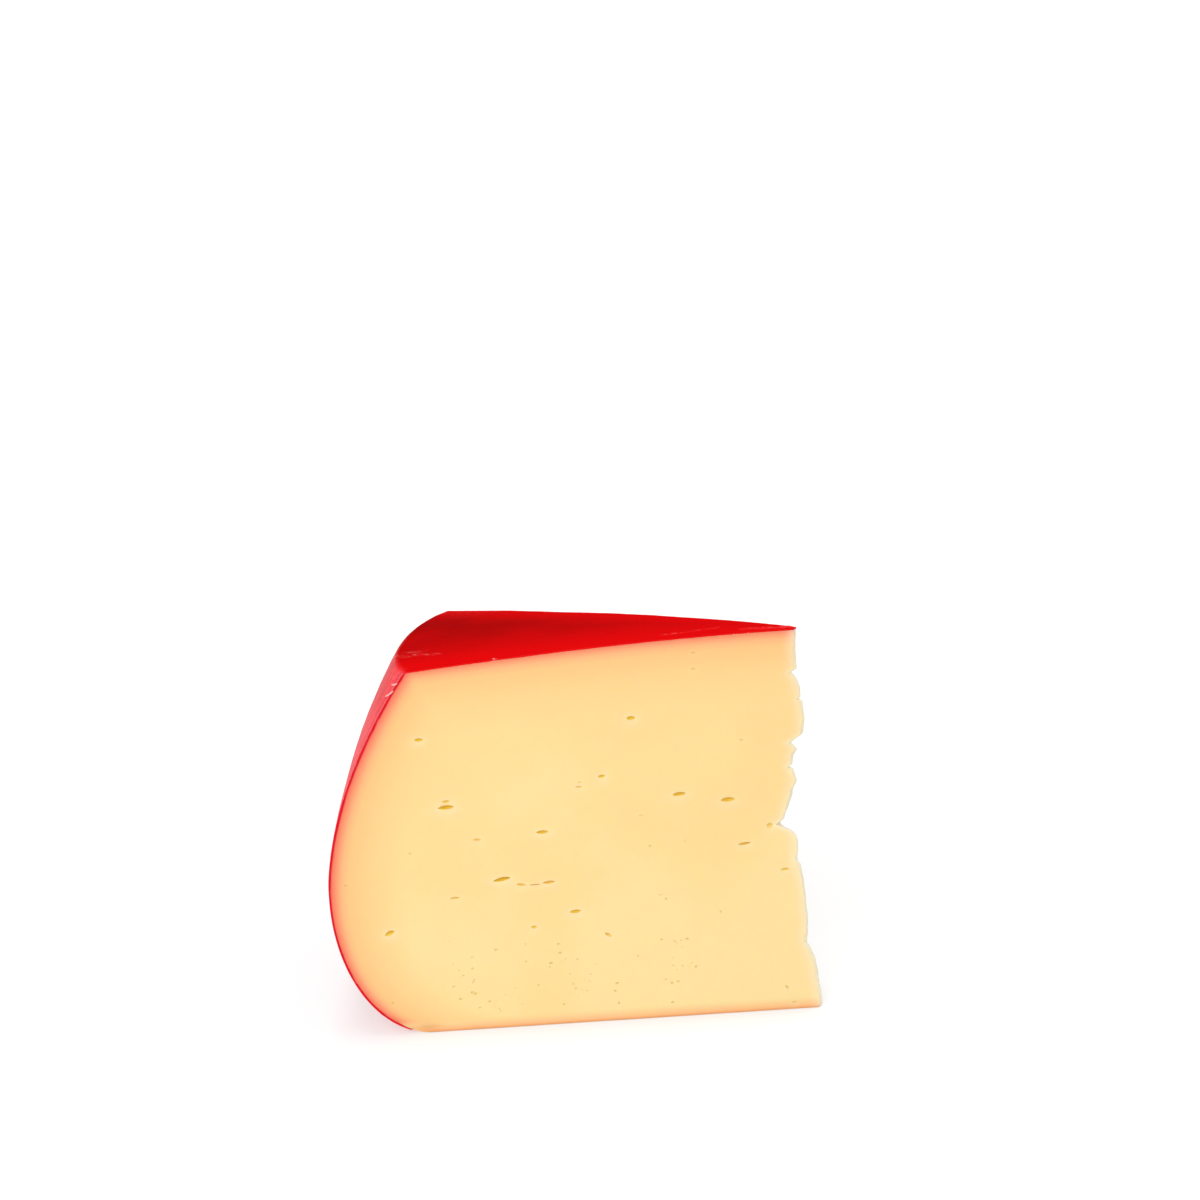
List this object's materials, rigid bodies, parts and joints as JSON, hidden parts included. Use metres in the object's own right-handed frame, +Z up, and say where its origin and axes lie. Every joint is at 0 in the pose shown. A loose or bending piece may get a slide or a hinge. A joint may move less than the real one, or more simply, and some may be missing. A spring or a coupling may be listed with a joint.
{
  "type": "wedge of coated semi-hard cheese",
  "caption": "Hand-cut wedge of a semi-hard cheese wheel in a thin red wax rind, with small eyes in the cuts and a torn point.",
  "frame": {"origin": "on the surface it rests on, under the middle of its bounding box", "axes": "+Z up; the front cut faces -Y; +X runs along that cut from the bulging rim to the torn point"},
  "size_m": [0.1478, 0.091, 0.1201],
  "materials": {
    "paste": "smooth knife-cut paste, faintly moist",
    "wax_rind": "thin satin wax over a plastic cheese coating"
  },
  "bodies": {
    "root": {"cheese_wedge": "paste"}
  },
  "joints": []
}
